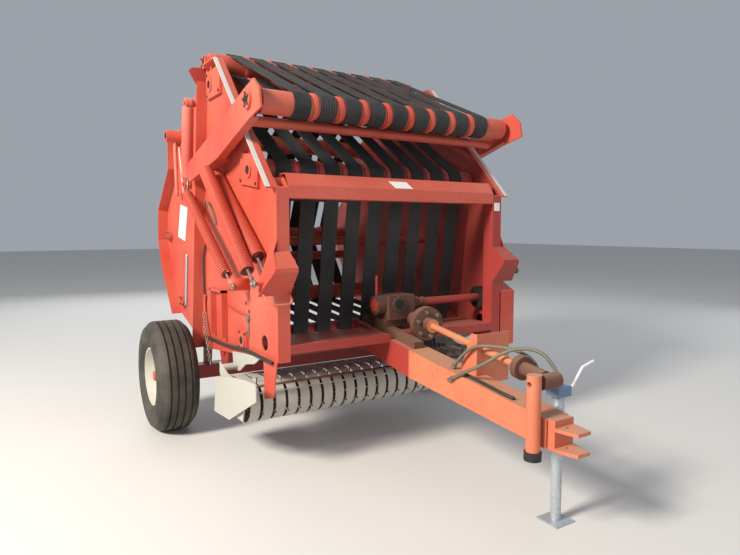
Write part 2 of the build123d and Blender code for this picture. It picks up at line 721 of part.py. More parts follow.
def axle():
    hollow = AXLE_BEAM - 2 * AXLE_WALL
    beam = Box(2 * (WALL_OUT + AXLE_REACH), AXLE_BEAM, AXLE_BEAM)
    beam -= Box(2 * (WALL_OUT + AXLE_REACH - AXLE_CAP), hollow, hollow)
    beam = Pos(0, HUB_Y, TYRE_R) * beam
    for s in (-1, 1):
        beam += across(HUB_Y, TYRE_R, s * (WALL_OUT + AXLE_REACH), s * (WHEEL_X + SPINDLE_OUT), SPINDLE_R)
        x0, x1 = sorted((s * WALL_IN, s * (WALL_IN - 10)))
        beam += plate_yz([(1230, 440), (1400, 440), (1385, 700), (1180, 760)], x0, x1)
    return beam


def tyre():
    w, r = TYRE_W / 2, TYRE_R
    profile = [(-w + 40, RIM_R), (-w + 4, RIM_R + 40), (-w, r - 95), (-w + 12, r - 38), (-w + 45, r - 6)]
    profile += [(-w + 60, r), (w - 60, r), (w - 45, r - 6), (w - 12, r - 38), (w, r - 95)]
    profile += [(w - 4, RIM_R + 40), (w - 40, RIM_R)]
    face = make_face(Polyline(*[(x, rr, 0) for x, rr in profile], close=True))
    solid = revolve(face, Axis.X, 360)
    for x in (-70, -24, 24, 70):
        groove = Rot(0, 90, 0) * (Cylinder(r + 5, 14) - Cylinder(r - 12, 16))
        solid -= Pos(x, 0, 0) * groove
    return solid


def rim():
    """The wheel disc, its rim well and the hub with its cap, outer side towards minus X."""
    w = TYRE_W / 2 - 40
    t = RIM_T
    face = make_face(
        Polyline(
            (-w - 14, RIM_R - 0.3, 0),
            (w + 14, RIM_R - 0.3, 0),
            (w + 14, RIM_R - t, 0),
            (10, RIM_R - t - 12, 0),
            (-8, 130, 0),
            (-24, 96, 0),
            (-24, HUB_R, 0),
            (60, HUB_R, 0),
            (60, SPINDLE_R + 0.08, 0),
            (-72, SPINDLE_R + 0.08, 0),
            (-72, 44, 0),
            (-60, HUB_R, 0),
            (-32, HUB_R, 0),
            (-32, 100, 0),
            (-16, 138, 0),
            (-4, RIM_R - t - 12, 0),
            (-w - 14, RIM_R - t, 0),
            close=True,
        )
    )
    wheel = revolve(face, Axis.X, 360)
    wheel += across(0, 0, -96, -71.5, 34)
    for n in range(6):
        a = math.radians(60 * n + 15)
        wheel += across(82 * math.cos(a), 82 * math.sin(a), -40, -30, 9)
    return wheel


def band_face():
    """One stripper band from the side: over the reel's top, round its front and under it."""
    r0, r1 = BAND_R, BAND_R - BAND_T
    rear = BAND_REAR
    edges = [
        Line((0, REEL_Y + rear, REEL_Z + r0), (0, REEL_Y, REEL_Z + r0)),
        ThreePointArc((0, REEL_Y, REEL_Z + r0), (0, REEL_Y - r0, REEL_Z), (0, REEL_Y, REEL_Z - r0)),
        Line((0, REEL_Y, REEL_Z - r0), (0, REEL_Y + rear, REEL_Z - r0 * 0.55)),
        Line((0, REEL_Y + rear, REEL_Z - r0 * 0.55), (0, REEL_Y + rear, REEL_Z - r0 * 0.55 + BAND_T)),
        Line((0, REEL_Y + rear, REEL_Z - r0 * 0.55 + BAND_T), (0, REEL_Y, REEL_Z - r1)),
        ThreePointArc((0, REEL_Y, REEL_Z - r1), (0, REEL_Y - r1, REEL_Z), (0, REEL_Y, REEL_Z + r1)),
        Line((0, REEL_Y, REEL_Z + r1), (0, REEL_Y + rear, REEL_Z + r1)),
        Line((0, REEL_Y + rear, REEL_Z + r1), (0, REEL_Y + rear, REEL_Z + r0)),
    ]
    return make_face(Wire(edges))


def band_x(n):
    return (n - (BAND_N - 1) / 2) * BAND_PITCH


def strippers():
    face = band_face()
    width = BAND_PITCH - BAND_SLOT
    bands = None
    for n in range(BAND_N):
        band = extrude(Pos(band_x(n) - width / 2, 0, 0) * face, width, dir=(1, 0, 0))
        bands = band if bands is None else bands + band
    rear = REEL_Y + BAND_REAR
    half = PICK_SIDE
    bands += block(-half, half, rear - 30, rear, REEL_Z + BAND_R - 34, REEL_Z + BAND_R)
    low = REEL_Z - BAND_R * 0.55
    bands += block(-half, half, rear - 6, rear + 24, low, low + 34)
    return bands


def reel():
    half = PICK_SIDE - 8
    body = across(REEL_Y, REEL_Z, -half, half, 30)
    for s in (-1, 1):
        body += across(REEL_Y, REEL_Z, s * (half - 2), s * (half - 10), TINE_BAR_R + TINE_BAR / 2)
    for row in range(TINE_ROWS):
        turned = Pos(0, REEL_Y, REEL_Z) * Rot(20 + 360 / TINE_ROWS * row, 0, 0)
        body += turned * Pos(0, TINE_BAR_R, 0) * Box(2 * half - 4, TINE_BAR, TINE_BAR)
        for n in range(BAND_N - 1):
            x = (band_x(n) + band_x(n + 1)) / 2
            reach = TINE_R - TINE_BAR_R
            body += turned * Pos(x, TINE_BAR_R + reach / 2, 0) * Box(TINE, reach, TINE)
    stub = PICK_SIDE + PICK_T + 8
    return body + across(REEL_Y, REEL_Z, -stub, stub, 16)


def pickup_side():
    side = plate_yz(PICK_PLATE, -PICK_SIDE - PICK_T, -PICK_SIDE)
    side += plate_yz(SHIELD, -SHIELD_X - PICK_T, -SHIELD_X)
    side += block(-SHIELD_X, -PICK_SIDE - PICK_T, 540, 560, 300, 500)
    side += across(PICK_PIVOT_Y, PICK_PIVOT_Z, -PICK_SIDE - PICK_T, -WALL_OUT - 8.5, 22)
    side += across(PICK_PIVOT_Y, PICK_PIVOT_Z, -PICK_SIDE, -WALL_OUT - 0.5, 12)
    side -= across(REEL_Y, REEL_Z, -PICK_SIDE - PICK_T - 8.5, -PICK_SIDE + 1, 16.08)
    return side


def pickup_bracket():
    plate = plate_yz(PICK_BRACKET, -WALL_OUT - 8, -WALL_OUT)
    return plate - across(PICK_PIVOT_Y, PICK_PIVOT_Z, -WALL_OUT - 9, -WALL_OUT + 1, 12.06)


def gearbox():
    x, y, z = GEARBOX
    case = fillet(block(*CASE).edges().filter_by(Axis.Z), CASE_ROUND)
    case = Pos(x, y, z) * case
    case += across(y, z, x - 150, x - 90, 62) + across(y, z, x + 115, x + GEARBOX_OUT, 45)
    case += bar((SHAFT_X, 30, CLUTCH_Z + 10), (SHAFT_X, y - 70, CLUTCH_Z + 10), 45)
    foot = [(y - 60, z - 95), (y + 90, z - 95), (y + 90, bar_top(y + 90)), (y - 60, bar_top(y - 60))]
    return case + plate_yz(foot, TONGUE_X - 35, x + 60)


def cross_shaft():
    x, y, z = GEARBOX
    shaft = across(y, z, x + GEARBOX_OUT, WALL_IN, CROSS_R)
    return shaft + across(y, z, *CROSS_RING, CROSS_RING_R)


def shaft_dir():
    a = Vector(SHAFT_X, SHAFT_START_Y, CLUTCH_Z + 10)
    b = Vector(TONGUE_X, YOKE_Y + 40, YOKE_Z)
    return a, b, (b - a).normalized()


def driveline():
    a, b, run = shaft_dir()
    line = bar(tuple(a), tuple(b), SHAFT_R)
    line += bar(tuple(a + run * 60), tuple(a + run * 110), CLUTCH_R)
    line += bar(tuple(a + run * 50), tuple(a + run * 170), 42)
    line += bar(tuple(b - run * 190), tuple(b - run * 150), 60)
    line += bar(tuple(b - run * 150), tuple(b), 34)
    line += across(YOKE_Y, YOKE_Z, HANG_X, TONGUE_X + 34, HANG_PIN_R)
    return line + across(YOKE_Y, YOKE_Z, HANG_X + TUBE_R + 9, TONGUE_X + 34, 36)


def shaft_bracket():
    """A plate across the tongue that the shaft runs through, with a rib along the tongue's top."""
    front = block(BRACKET_LEFT, BRACKET_RIGHT, BRACKET_Y - 8, BRACKET_Y, BRACKET_LOW, BRACKET_TOP)
    rib = plate_yz(BRACKET_RIB, BRACKET_LEFT, BRACKET_LEFT + 8)
    a, b, run = shaft_dir()
    return front + rib - bar(tuple(a), tuple(b), SHAFT_R + 0.05) - tongue_block()


def hanging_tube():
    top = (HANG_X, YOKE_Y, YOKE_Z + 40)
    low = (HANG_X, YOKE_Y, HANG_LOW)
    body = bar(top, low, TUBE_R) + bar((HANG_X, YOKE_Y, HANG_LOW + 40), low, TUBE_R + 7)
    body -= across(YOKE_Y, YOKE_Z, HANG_X - 60, HANG_X + 60, HANG_PIN_R + 0.08)
    return body - bar((HANG_X, YOKE_Y, HANG_LOW + PTO_DEPTH), (HANG_X, YOKE_Y, HANG_LOW - 1), PTO_BORE_R)


def run_length(route):
    return [(Vector(*b) - Vector(*a)).length for a, b in zip(route, route[1:])]


def bend_radii(route):
    """Bend radii of a free hose: its arcs take up 0.45 of the shorter run beside each corner."""
    runs = run_length(route)
    radii = []
    for n in range(1, len(route) - 1):
        before = Vector(*route[n]) - Vector(*route[n - 1])
        after = Vector(*route[n + 1]) - Vector(*route[n])
        half_turn = math.radians(before.get_angle(after)) / 2
        radii.append(BEND_SHARE * min(runs[n - 1], runs[n]) / math.tan(half_turn))
    return radii


def hose(route):
    radii = bend_radii(route)
    path = FilletPolyline(*route, radius=radii)
    start = Plane(origin=route[0], z_dir=Vector(*route[1]) - Vector(*route[0]))
    whole = sweep(start * Circle(HOSE_R), path=path)
    expected = math.pi * HOSE_R**2 * path.length
    print("hose length", round(path.length, 1), "radii", [round(r) for r in radii])
    print("volume against section times length", round(whole.volume / expected, 4))
    return whole


def hose_gland(route):
    """The fitting on the tongue that a hose comes out of, face to face with the hose."""
    start = Vector(*route[0])
    run = (Vector(*route[1]) - start).normalized()
    return bar(tuple(start - run * GLAND_LEN), route[0], GLAND_R) - tongue_block()


def hose_end(route):
    """The quick coupling at the hose's loose end: a sleeve and a narrower nose."""
    end = Vector(*route[-1])
    run = (end - Vector(*route[-2])).normalized()
    sleeve = bar(route[-1], tuple(end + run * 18), HOSE_R + 4)
    return sleeve + bar(tuple(end + run * 18), tuple(end + run * 30), HOSE_R)


def chain_cover():
    """A sheet cover over the chain from the cross shaft to the throat's lower roller, open at its back."""
    back, face = COVER_X
    middle = (sum(y for y, z in COVER) / len(COVER), sum(z for y, z in COVER) / len(COVER))
    inside = []
    for y, z in COVER:
        dy = math.copysign(COVER_T, middle[0] - y)
        dz = math.copysign(COVER_T, middle[1] - z)
        inside.append((y + dy, z + dz))
    cover = plate_yz(COVER, back, face) - plate_yz(inside, back - 1, face - COVER_T)
    front_y, front_z = COVER[0]
    return cover + block(back, face, front_y, front_y + COVER_T, COVER_LIP_Z, front_z + COVER_T)


def seam_start(p, q, dy, dz):
    return p


def frame_end(p, q, dy, dz):
    reach = (wall_rear_y(SEAM_Z) - p[0]) / dy
    return (p[0] + dy * reach, p[1] + dz * reach)


def tail_start(p, q, dy, dz):
    reach = (wall_rear_y(SEAM_Z) + BELT_SEAM - p[0]) / dy
    return (p[0] + dy * reach, p[1] + dz * reach)


def tail_end(p, q, dy, dz):
    return (p[0] + dy * 0.2, p[1] + dz * 0.2)


def build():
    keep_pair("side_wall", side_wall() + cylinder_lug())
    keep_pair("post", post() + nose())
    keep("top_beam", top_beam())
    x0, x1 = TONGUE_X - TONGUE_W / 2, TONGUE_X + TONGUE_W / 2
    keep("sill", sill(-POST_IN, x0) + sill(x1, POST_IN))
    keep("tongue", tongue())
    keep("hitch_clevis", hitch())
    keep("gearbox", gearbox())
    keep("cross_shaft", cross_shaft())
    keep("driveline", driveline())
    keep("shaft_bracket", shaft_bracket())
    keep("hanging_shaft", hanging_tube())
    keep("jack_tube", jack_tube())
    keep("jack_crank", jack_crank())
    keep("jack_leg", jack_leg())
    keep("axle", axle())
    inner = WALL_IN - ROLLER_GAP
    keep("roller_throat_top", roller("throat_top", inner, ROLLER_GAP + SHEET + BEARING_T))
    keep("roller_upper", roller("upper", inner, ROLLER_GAP + SHEET + BEARING_T))
    keep("roller_throat_low", roller("throat_low", inner, ROLLER_GAP + SHEET + BEARING_T, False))
    hinge = roller("hinge", STRAP_X - 8, WALL_OUT - STRAP_X + 8 + 1)
    for s in (-1, 1):
        hinge += across(HINGE_Y, HINGE_Z, s * WALL_OUT, s * (WALL_OUT + 40), 45)
    keep("roller_hinge", hinge)
    keep("roller_tension", roller("tension", ARM_IN - 48, 44 + ARM_T + 18))
    y, z, r = FLOOR_DRUM
    keep("floor_drum", across(y, z, -inner, inner, r) + across(y, z, -WALL_IN, WALL_IN, AXLE_R))
    left, right = (-ARM_IN, TORQUE_Y, TORQUE_Z), (ARM_IN, TORQUE_Y, TORQUE_Z)
    keep("torque_tube", tube(left, right, TORQUE_R, TUBE_WALL))
    y, z, r = CHAMBER_BAR
    keep("chamber_bar", tube((-WALL_IN, y, z), (WALL_IN, y, z), r, TUBE_WALL))
    keep_pair("tension_arm", tension_arm())
    keep_pair("springs", spring_pair() + spring_single())
    keep_pair("pickup_bracket", pickup_bracket())
    sweep_room = across(HINGE_Y, HINGE_Z, -WALL_OUT, WALL_OUT, ROLLER_R + BELT_GAP + BELT_T + BELT_ROOM)
    keep("belts_frame", belt_set(ROUTE_FRAME, seam_start, frame_end) - sweep_room)
    keep_pair("tail_side", tail_side())
    for name in ("tail_low", "tail_rear", "tail_top"):
        keep("roller_" + name, roller(name, inner, ROLLER_GAP + SHEET + BEARING_T, name != "tail_low"))
    for name, y, z in TAIL_TUBES:
        keep("tail_tube_" + name, tube((-WALL_IN, y, z), (WALL_IN, y, z), TAIL_TUBE_R, TUBE_WALL))
    keep("belts_tail", belt_set(ROUTE_TAIL, tail_start, tail_end))
    keep_pair("cylinder_barrel", cylinder_barrel())
    keep_pair("cylinder_rod", cylinder_rod())
    wheel = Pos(-WHEEL_X, HUB_Y, TYRE_R)
    keep_pair("tyre", wheel * tyre())
    keep_pair("rim", wheel * rim())
    keep("strippers", strippers())
    keep("pickup_bar", block(-PICK_SIDE, PICK_SIDE, *PICK_BAR))
    keep("reel", reel())
    keep_pair("pickup_side", pickup_side())
    keep("hose_1", hose(HOSE_1))
    keep("hose_2", hose(HOSE_2))
    keep("hose_glands", hose_gland(HOSE_1) + hose_gland(HOSE_2))
    keep("hose_end_1", hose_end(HOSE_1))
    keep("hose_end_2", hose_end(HOSE_2))
    keep("chain_cover", chain_cover())


build()
os.makedirs("parts", exist_ok=True)
for name, shape in PARTS.items():
    export_step(Pos(0, -ORIGIN_Y, 0) * shape, "parts/" + name + ".step")
print(len(PARTS), "nodes")
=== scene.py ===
import math

import bpy
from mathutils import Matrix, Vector


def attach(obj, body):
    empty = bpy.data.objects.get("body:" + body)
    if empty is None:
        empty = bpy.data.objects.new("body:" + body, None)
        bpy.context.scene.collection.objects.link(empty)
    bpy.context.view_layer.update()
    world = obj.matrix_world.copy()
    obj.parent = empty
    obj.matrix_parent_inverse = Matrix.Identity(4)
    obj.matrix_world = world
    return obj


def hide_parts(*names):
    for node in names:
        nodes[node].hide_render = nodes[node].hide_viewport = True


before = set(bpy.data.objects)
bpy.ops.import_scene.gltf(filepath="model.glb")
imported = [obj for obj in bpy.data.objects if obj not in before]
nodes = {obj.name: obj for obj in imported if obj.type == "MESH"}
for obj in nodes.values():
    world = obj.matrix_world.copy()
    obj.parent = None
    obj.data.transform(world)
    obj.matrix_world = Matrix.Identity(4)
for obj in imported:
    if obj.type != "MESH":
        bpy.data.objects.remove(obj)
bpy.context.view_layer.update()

# Camera of the photograph, in the row's frame: metres, degrees, pixels, and a sensor in millimetres
CAMERA_PLACE = (-2.16, -3.50, 1.44)
CAMERA_TURN = 32.5
CAMERA_DIP = 4.7
CAMERA_NEAR = 0.05
CAMERA_FAR = 200
FOCAL_PX = 600.0
PHOTO_W = 740
PHOTO_H = 555
SENSOR = 36.0

# Shared sizes of the machine, in metres
SHIFT_Y = 0.48
WALL_X = 0.835
RIM_FACE_X = 1.105
HUB_Y = 1.35
HUB_Z = 0.39
BOLT_R = 0.010
BOLT_H = 0.008

# The machine's right side is towards minus X
SIDES = [(-1, "right"), (1, "left")]
ACROSS = Vector((1, 0, 0))


def at(x, y, z):
    """A point of the machine, with Y counted from the front posts."""
    return Vector((x, y - SHIFT_Y, z))


# Materials
RUST_DARK = (0.055, 0.021, 0.012)
RUST_LIGHT = (0.17, 0.062, 0.028)
METAL_RUST = (0.13, 0.05, 0.025)
DUST = (0.42, 0.30, 0.20)
STREAK_STRETCH = (9, 9, 0.7)
WORN_EDGE = 0.005
EDGE_SAMPLES = 3
# Half of the band in which one paint gives way to another
PAINT_STEP = 0.01


def new_material(name):
    mat = bpy.data.materials.new(name)
    mat.use_nodes = True
    tree = mat.node_tree
    tree.nodes.clear()
    out = tree.nodes.new("ShaderNodeOutputMaterial")
    shader = tree.nodes.new("ShaderNodeBsdfPrincipled")
    tree.links.new(shader.outputs[0], out.inputs[0])
    return mat, tree, shader


def position(tree, scale=(1, 1, 1)):
    coords = tree.nodes.new("ShaderNodeTexCoord")
    mapping = tree.nodes.new("ShaderNodeMapping")
    mapping.inputs["Scale"].default_value = scale
    tree.links.new(coords.outputs["Object"], mapping.inputs[0])
    return mapping.outputs[0]


def normal(tree):
    return tree.nodes.new("ShaderNodeNewGeometry").outputs["Normal"]


def along(tree, vector, axis):
    """One coordinate of a vector: 0, 1 or 2 for X, Y or Z."""
    axes = tree.nodes.new("ShaderNodeSeparateXYZ")
    tree.links.new(vector, axes.inputs[0])
    return axes.outputs[axis]


def noise(tree, place, scale, detail=6, rough=0.6):
    node = tree.nodes.new("ShaderNodeTexNoise")
    node.inputs["Scale"].default_value = scale
    node.inputs["Detail"].default_value = detail
    node.inputs["Roughness"].default_value = rough
    tree.links.new(place, node.inputs["Vector"])
    return node.outputs[0]


def ramp(tree, value, low, high, start=0.0, end=1.0):
    """From start to end while the value goes from low to high. Sockets 1 to 4 hold these four."""
    node = tree.nodes.new("ShaderNodeMapRange")
    for key, number in zip((1, 2, 3, 4), (low, high, start, end)):
        node.inputs[key].default_value = number
    tree.links.new(value, node.inputs[0])
    return node.outputs[0]


def mix(tree, share, one, two):
    """Two colours mixed by a share, with sockets 6 and 7 for the colours and 2 for the result."""
    node = tree.nodes.new("ShaderNodeMix")
    node.data_type = "RGBA"
    tree.links.new(share, node.inputs[0])
    for key, colour in ((6, one), (7, two)):
        if isinstance(colour, tuple):
            node.inputs[key].default_value = (*colour, 1)
        else:
            tree.links.new(colour, node.inputs[key])
    return node.outputs[2]


def maths(tree, kind, one, two):
    node = tree.nodes.new("ShaderNodeMath")
    node.operation = kind
    for key, value in ((0, one), (1, two)):
        if isinstance(value, (int, float)):
            node.inputs[key].default_value = value
        else:
            tree.links.new(value, node.inputs[key])
    return node.outputs[0]


def bump(tree, shader, height, strength, distance):
    node = tree.nodes.new("ShaderNodeBump")
    node.inputs["Strength"].default_value = strength
    node.inputs["Distance"].default_value = distance
    tree.links.new(height, node.inputs["Height"])
    tree.links.new(node.outputs[0], shader.inputs["Normal"])


def darker(colour, share):
    return tuple(c * share for c in colour)


def near_edge(tree):
    """One beside a corner of the solid, and nought on its flats."""
    soft = tree.nodes.new("ShaderNodeBevel")
    soft.samples = EDGE_SAMPLES
    soft.inputs["Radius"].default_value = WORN_EDGE
    turn = tree.nodes.new("ShaderNodeVectorMath")
    turn.operation = "DOT_PRODUCT"
    tree.links.new(soft.outputs[0], turn.inputs[0])
    tree.links.new(normal(tree), turn.inputs[1])
    return ramp(tree, turn.outputs["Value"], 0.99, 0.85)


def rust_share(tree, place, patches, fine, rust, edge):
    """Where rust has come through: in spots, in streaks that run down, and along worn corners."""
    spots = ramp(tree, noise(tree, place, scale=7, detail=10, rough=0.72), 0.60, 0.68)
    spots = maths(tree, "MULTIPLY", spots, ramp(tree, fine, 0.42, 0.6))
    drawn_out = position(tree, STREAK_STRETCH)
    streaks = ramp(tree, noise(tree, drawn_out, scale=2.0, detail=8, rough=0.7), 0.66, 0.80)
    worn = maths(tree, "MULTIPLY", near_edge(tree), ramp(tree, patches, 0.40, 0.60, 0, edge))
    worn = maths(tree, "MULTIPLY", worn, ramp(tree, fine, 0.40, 0.56))
    patchy = maths(tree, "MULTIPLY", maths(tree, "MAXIMUM", spots, streaks), rust)
    return maths(tree, "MAXIMUM", patchy, worn)


def dust_share(tree, patches, dust):
    """Dust lies on what faces up, more in some places than in others."""
    dusty = ramp(tree, along(tree, normal(tree), 2), 0.5, 1.0, 0, dust)
    return maths(tree, "MULTIPLY", dusty, ramp(tree, patches, 0.35, 0.65, 0.4, 1.0))


def worn_paint(name, colour, faded, fade=0.5, rust=0.5, edge=0.5, gloss=0.5, dust=0.3, rear=None):
    """Old paint: chalky where it has faded, rusty in spots, in streaks and along worn edges.

    The rear, if given, is a place along Y and the colour of a painted shadow behind it.
    """
    mat, tree, shader = new_material(name)
    place = position(tree)
    patches = noise(tree, place, scale=1.3, detail=5, rough=0.55)
    fine = noise(tree, place, scale=45, detail=5, rough=0.6)
    base = mix(tree, ramp(tree, patches, 0.30, 0.70, 0, fade), colour, faded)
    base = mix(tree, ramp(tree, fine, 0.35, 0.8, 0, 0.10), base, darker(colour, 0.6))
    # Behind the given place along Y the paint turns to a painted shadow
    if rear:
        start, behind = rear
        in_painted_shadow = ramp(tree, along(tree, place, 1), start - PAINT_STEP, start + PAINT_STEP)
        base = mix(tree, in_painted_shadow, base, behind)
    rusty = rust_share(tree, place, patches, fine, rust, edge)
    base = mix(tree, rusty, base, mix(tree, ramp(tree, fine, 0.35, 0.65), RUST_DARK, RUST_LIGHT))
    base = mix(tree, dust_share(tree, patches, dust), base, DUST)
    tree.links.new(base, shader.inputs["Base Color"])
    tree.links.new(ramp(tree, rusty, 0, 1, gloss, 0.9), shader.inputs["Roughness"])
    height = maths(tree, "ADD", fine, maths(tree, "MULTIPLY", rusty, 0.6))
    bump(tree, shader, height, strength=0.12, distance=0.001)
    return mat


def worn_metal(name, bright, dark, rough=0.45, metallic=0.75, rust=0.5):
    """Bare metal that has gone dull, with patches of rust."""
    mat, tree, shader = new_material(name)
    place = position(tree)
    patches = noise(tree, place, scale=5, detail=8, rough=0.65)
    fine = noise(tree, place, scale=60, detail=5, rough=0.6)
    rusty = ramp(tree, patches, 0.5, 0.66, 0, rust)
    base = mix(tree, ramp(tree, fine, 0.35, 0.7), bright, dark)
    base = mix(tree, rusty, base, METAL_RUST)
    tree.links.new(base, shader.inputs["Base Color"])
    tree.links.new(ramp(tree, rusty, 0, 0.6, metallic, 0.1), shader.inputs["Metallic"])
    tree.links.new(ramp(tree, rusty, 0, 0.6, rough, 0.85), shader.inputs["Roughness"])
    bump(tree, shader, fine, strength=0.2, distance=0.001)
    return mat


def plain(name, colour, rough=0.5):
    mat, tree, shader = new_material(name)
    shader.inputs["Base Color"].default_value = (*colour, 1)
    shader.inputs["Roughness"].default_value = rough
    return mat


def rubber(name, colour, dust, share, rough=0.75, ribs=0.0):
    """Rubber with a film of dust, and ribs across the width where a pitch is given."""
    mat, tree, shader = new_material(name)
    place = position(tree)
    patches = noise(tree, place, scale=4, detail=8, rough=0.7)
    fine = noise(tree, place, scale=90, detail=4, rough=0.6)
    base = mix(tree, ramp(tree, patches, 0.35, 0.75, 0, share), colour, dust)
    height = fine
    if ribs:
        turns = maths(tree, "MULTIPLY", along(tree, place, 0), 2 * math.pi / ribs)
        wave = maths(tree, "SINE", turns, 0)
        groove = ramp(tree, wave, -0.2, 0.5)
        # The grooves between the ribs are darker: painted shade
        base = mix(tree, ramp(tree, wave, -0.9, -0.1, 0.55, 0.0), base, darker(colour, 0.3))
        height = maths(tree, "ADD", maths(tree, "MULTIPLY", groove, 3), fine)
    tree.links.new(base, shader.inputs["Base Color"])
    shader.inputs["Roughness"].default_value = rough
    bump(tree, shader, height, strength=0.5, distance=0.002)
    return mat


# The tongue is pale to the front of a place along Y, and darker behind it: a painted shadow cast by the
# machine
TONGUE_SHADOW = (-0.670, (0.35, 0.036, 0.027))

RED = worn_paint("red", (0.50, 0.050, 0.030), (0.60, 0.150, 0.095), fade=0.85, rust=0.45)
# A darker copy of the red: painted shade for inner faces, undersides, the left post and other parts in shade
SHADED_RED = worn_paint("red_painted_shade", (0.33, 0.032, 0.025), (0.40, 0.080, 0.060), fade=0.5, rust=0.55)
ORANGE = worn_paint("orange", (0.55, 0.095, 0.045), (0.64, 0.24, 0.13), fade=0.9, rust=0.8, dust=0.75)
TONGUE = worn_paint("tongue_red_painted_shadow", (0.56, 0.12, 0.055), (0.64, 0.26, 0.14), 0.9, dust=0.75, rear=TONGUE_SHADOW)
BARREL = worn_paint("barrel_red", (0.58, 0.10, 0.07), (0.68, 0.26, 0.20), fade=0.8, rust=0.1, gloss=0.28)
SPRING = worn_paint("spring_red", (0.52, 0.052, 0.028), (0.62, 0.17, 0.10), fade=0.6, rust=0.2, edge=0.0)
RUSTY = worn_paint("rusty", (0.10, 0.040, 0.026), (0.19, 0.080, 0.047), fade=0.8, rust=0.8, gloss=0.75)
SHAFT = worn_paint("shaft_orange", (0.55, 0.17, 0.07), (0.60, 0.27, 0.14), fade=0.7, rust=0.7, gloss=0.6)
GREY = worn_paint("grey", (0.43, 0.42, 0.37), (0.52, 0.50, 0.45), fade=0.6, rust=0.95, gloss=0.6)
RIM = worn_paint("rim", (0.58, 0.56, 0.50), (0.62, 0.59, 0.52), fade=0.5, rust=0.45)
PALE_EDGE = worn_paint("pale_edge", (0.55, 0.55, 0.53), (0.62, 0.60, 0.57), fade=0.5, rust=0.3)
STEEL = worn_metal("steel", (0.34, 0.31, 0.28), (0.20, 0.16, 0.13), rust=0.7)
ZINC = worn_metal("zinc", (0.50, 0.54, 0.58), (0.38, 0.42, 0.46), rough=0.42, metallic=0.5, rust=0.1)
CHROME = worn_metal("rod_chrome", (0.70, 0.70, 0.70), (0.55, 0.55, 0.55), rough=0.22, metallic=1.0, rust=0.1)
BELT = rubber("belt", (0.017, 0.018, 0.020), (0.080, 0.076, 0.070), 0.5, ribs=0.017)
TYRE = rubber("tyre_rubber", (0.024, 0.022, 0.021), (0.15, 0.125, 0.095), 0.6)
HOSE = rubber("hose_rubber", (0.13, 0.12, 0.085), (0.20, 0.18, 0.13), 0.6, rough=0.6)
BLACK = rubber("black_rubber", (0.020, 0.019, 0.018), (0.07, 0.06, 0.05), 0.5, rough=0.55)
DARK = plain("dark", (0.012, 0.012, 0.012), 0.6)
SHADE = plain("spring_shade", (0.10, 0.014, 0.010), 0.8)
BLUE = plain("cap_blue", (0.13, 0.22, 0.36), 0.45)
WHITE = plain("blank_plate", (0.72, 0.72, 0.70), 0.5)
PALE = plain("pale_floor", (0.62, 0.61, 0.59), 0.9)

# Finish of each node: the start of its name, and its material
FINISHES = [
    ("belts", BELT),
    ("tyre", TYRE),
    ("rim", RIM),
    # The throat, sill, left post, floor drum, cross shaft and axle take the darker red as painted shade
    ("roller_throat", SHADED_RED),
    ("sill", SHADED_RED),
    ("post_left", SHADED_RED),
    ("cylinder_barrel", BARREL),
    ("floor_drum", SHADED_RED),
    ("springs", SPRING),
    ("tongue", TONGUE),
    ("hitch_clevis", ORANGE),
    ("hanging_shaft", ORANGE),
    ("shaft_bracket", ORANGE),
    ("driveline", SHAFT),
    ("cross_shaft", SHADED_RED),
    ("gearbox", RUSTY),
    ("jack_tube", ZINC),
    ("jack_leg", ZINC),
    ("jack_crank", WHITE),
    ("cylinder_rod", CHROME),
    ("strippers", GREY),
    ("pickup_bar", RUSTY),
    ("pickup_side", GREY),
    ("pickup_bracket", GREY),
    ("reel", RUSTY),
    ("axle", SHADED_RED),
    ("hose_gland", STEEL),
    ("hose_end", STEEL),
    ("hose", HOSE),
]


def finish_of(name):
    for start, mat in FINISHES:
        if name.startswith(start):
            return mat
    return RED


for name, obj in nodes.items():
    obj.data.materials.clear()
    obj.data.materials.append(finish_of(name))

# Parts of a node that have a finish of their own
CROSS_RING_X = 0.775
CLUTCH_FRONT_Y = -0.125
YOKE_BACK_Y = -0.930
CYLINDER_EYE = at(0.915, 1.413, 1.760)
CYLINDER_EYE_R = 0.040
JACK_CAP_Z = 0.6295
HUB_CAP_R = 0.045
HUB_CAP_X = RIM_FACE_X + 0.05
WALL_IN_X = 0.8295
SHAFT_LOW_Z = 0.440
# The flat bar on the tongue: y and z of the tongue's top at two places, and what a face must clear
TONGUE_TOP = ((-0.190, 0.722), (0.400, 0.818))
BAR_START = 0.001
BAR_CLEAR = 0.004


def paint_where(name, mat, test):
    """Another finish on the faces of a node whose middle passes the test."""
    mesh = nodes[name].data
    mesh.materials.append(mat)
    for face in mesh.polygons:
        if test(face.center):
            face.material_index = len(mesh.materials) - 1


def on_hub_cap(place):
    off_axis = math.hypot(place.y + SHIFT_Y - HUB_Y, place.z - HUB_Z)
    return abs(place.x) > HUB_CAP_X and off_axis < HUB_CAP_R


def on_tongue_bar(place):
    (y0, z0), (y1, z1) = TONGUE_TOP
    y = place.y + SHIFT_Y
    return y > y0 - BAR_START and place.z > z0 + (y - y0) * (z1 - z0) / (y1 - y0) + BAR_CLEAR


